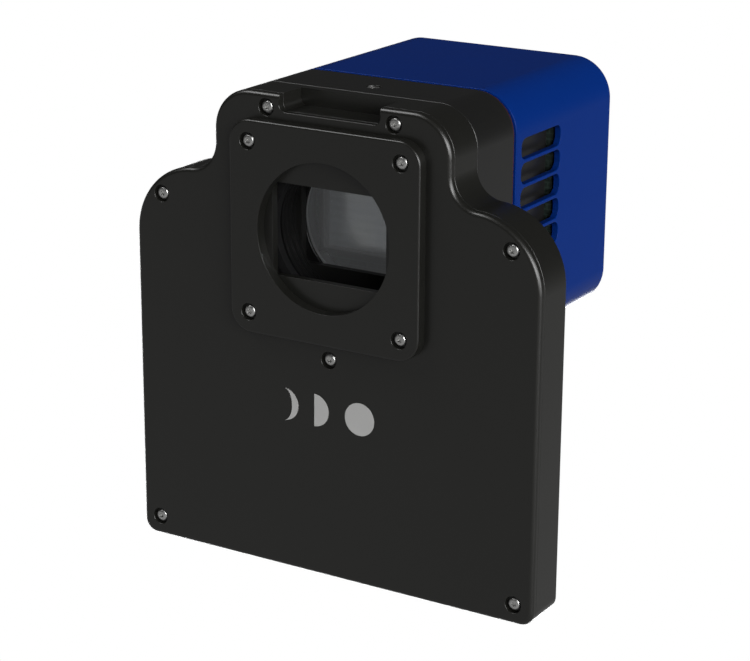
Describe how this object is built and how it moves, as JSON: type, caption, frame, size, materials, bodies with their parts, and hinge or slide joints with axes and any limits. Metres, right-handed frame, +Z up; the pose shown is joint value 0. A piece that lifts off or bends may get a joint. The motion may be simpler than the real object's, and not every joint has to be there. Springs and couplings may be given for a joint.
{
  "type": "cooled astronomy camera",
  "caption": "Cooled astronomy camera: flat black filter-wheel housing with a square adapter plate and a blue cooled rear body.",
  "frame": {"origin": "centre of the nose bore on the adapter plate's front face", "axes": "light enters along +Y, so -Y points out of the nose bore; +X is to the right seen from the front; +Z is up, the longest extent"},
  "size_m": [0.1964, 0.1491, 0.208],
  "materials": {
    "black_anodised": "satin black anodised over fine bead blasting",
    "body_black": "satin black anodised over fine bead blasting",
    "blue_anodised": "satin blue anodised",
    "stainless": "turned stainless steel",
    "wheel_black": "matt black anodised",
    "baffle_black": "dead matt black anodised",
    "sink_black": "matt black anodised extrusion",
    "bare_aluminium": "fine machined",
    "bearing_steel": "ground",
    "magnet_nickel": "nickel plated",
    "motor_grey": "satin",
    "brass": "turned",
    "copper": "milled",
    "black_rubber": "moulded",
    "red_gasket": "cut silicone sheet",
    "shutter_black": "matt black lacquer",
    "cell_black": "satin black anodised",
    "glass_clear": "polished, coated",
    "glass_red": "polished, coated",
    "glass_green": "polished, coated",
    "glass_blue": "polished, coated",
    "sensor_ceramic": "fired ceramic, dark",
    "sensor_silicon": "mirror-smooth silicon",
    "ceramic_white": "fired alumina",
    "board_green": "solder mask",
    "chip_black": "moulded epoxy",
    "ribbon_grey": "vinyl",
    "port_metal": "plated sheet",
    "black_plastic": "fine moulded texture",
    "light_green": "clear tinted lens",
    "nylon_natural": "turned nylon"
  },
  "bodies": {
    "camera": {"adapter_plate": "black_anodised", "plate_screws": "stainless", "front_cover": "black_anodised", "cover_screws": "stainless", "wheel_housing": "black_anodised", "wheel_axle": "bearing_steel", "axle_clip": "bearing_steel", "drive_motor": "motor_grey", "motor_screws": "stainless", "shutter_motor": "motor_grey", "index_sensor": "board_green", "light_baffle": "baffle_black", "body_screws": "stainless", "sensor_housing": "body_black", "purge_plug": "stainless", "window_retainer": "baffle_black", "chamber_window": "glass_clear", "window_seal": "black_rubber", "sensor_chamber": "bare_aluminium", "chamber_screws": "stainless", "sensor_package": "sensor_ceramic", "sensor_die": "sensor_silicon", "sensor_glass": "glass_clear", "cold_finger": "copper", "peltier_module": "ceramic_white", "sensor_board": "board_green", "rear_gasket": "red_gasket", "heat_sink": "sink_black", "shell_posts": "bare_aluminium", "board_spacers": "nylon_natural", "main_board": "board_green", "board_parts": "chip_black", "ribbon_cable": "ribbon_grey", "connector_board": "board_green", "usb_port": "port_metal", "power_jack": "black_plastic", "guide_port": "black_plastic", "status_lights": "light_green", "left_fan_frame": "black_plastic", "right_fan_frame": "black_plastic", "rear_shell": "blue_anodised", "shell_screws": "stainless", "fan_screws": "stainless"},
    "wheel": {"filter_wheel": "wheel_black", "wheel_magnets": "magnet_nickel", "wheel_bearing": "bearing_steel", "filter_cells": "cell_black", "red_filter": "glass_red", "green_filter": "glass_green", "blue_filter": "glass_blue", "clear_filter": "glass_clear"},
    "drive": {"motor_shaft": "bearing_steel", "drive_roller": "brass", "roller_tyre": "black_rubber"},
    "shutter": {"shutter_blade": "shutter_black", "shutter_hub": "bare_aluminium"},
    "left_fan": {"left_fan_rotor": "black_plastic"},
    "right_fan": {"right_fan_rotor": "black_plastic"}
  },
  "joints": [
    {"name": "filter_wheel_spin", "type": "hinge", "parent": "camera", "child": "wheel", "pos_m": [0, 0.0115, -0.0532], "axis": [0, 1, 0], "continuous": true},
    {"name": "drive_roller_spin", "type": "hinge", "parent": "camera", "child": "drive", "pos_m": [0.06527, 0.0115, -0.11847], "axis": [0, 1, 0], "continuous": true},
    {"name": "shutter_swing", "type": "hinge", "parent": "camera", "child": "shutter", "pos_m": [0, 0.0147, -0.0532], "axis": [0, 1, 0], "range_deg": [0, 72]},
    {"name": "left_fan_spin", "type": "hinge", "parent": "camera", "child": "left_fan", "pos_m": [-0.024, 0.1386, 0.022], "axis": [0, 1, 0], "continuous": true},
    {"name": "right_fan_spin", "type": "hinge", "parent": "camera", "child": "right_fan", "pos_m": [0.024, 0.1386, 0.022], "axis": [0, 1, 0], "continuous": true}
  ],
  "couplings": [
    {"joint": "drive_roller_spin", "follows": "filter_wheel_spin", "ratio": -14.333}
  ]
}
